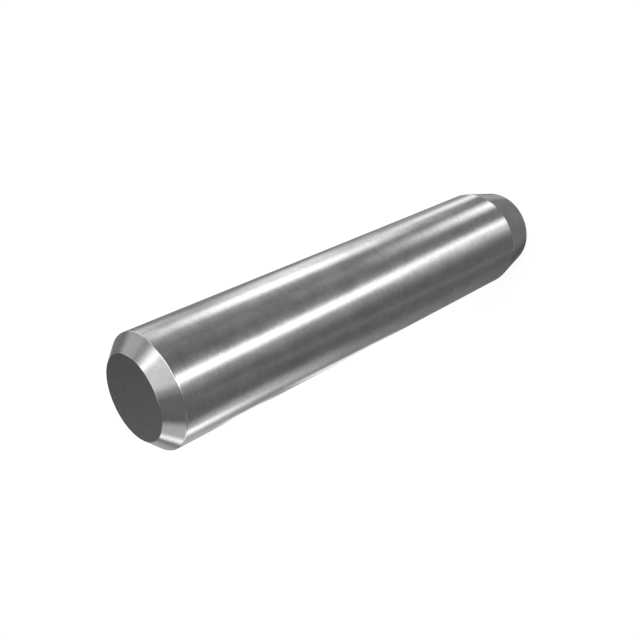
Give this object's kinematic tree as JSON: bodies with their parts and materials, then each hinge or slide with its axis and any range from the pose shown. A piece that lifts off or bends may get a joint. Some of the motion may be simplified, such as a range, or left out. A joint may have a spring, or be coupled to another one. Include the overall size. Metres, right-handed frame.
{
  "type": "taper lock stud",
  "caption": "Solid steel locking stud: a plain ground cylindrical body with a long shallow lead taper at one end and a short bevel at the other.",
  "frame": {"origin": "centre of the lead end's flat face, on which the stud stands", "axes": "+Z runs along the stud's axis, from the lead end up to the bevelled end; X and Y are free, because the stud is round"},
  "size_m": [0.005, 0.005, 0.024],
  "materials": {
    "ground_steel": "bare hardened steel, ground to a bright satin on the body, turned on the taper, the bevel and the end faces"
  },
  "bodies": {
    "root": {"stud": "ground_steel"}
  },
  "joints": []
}
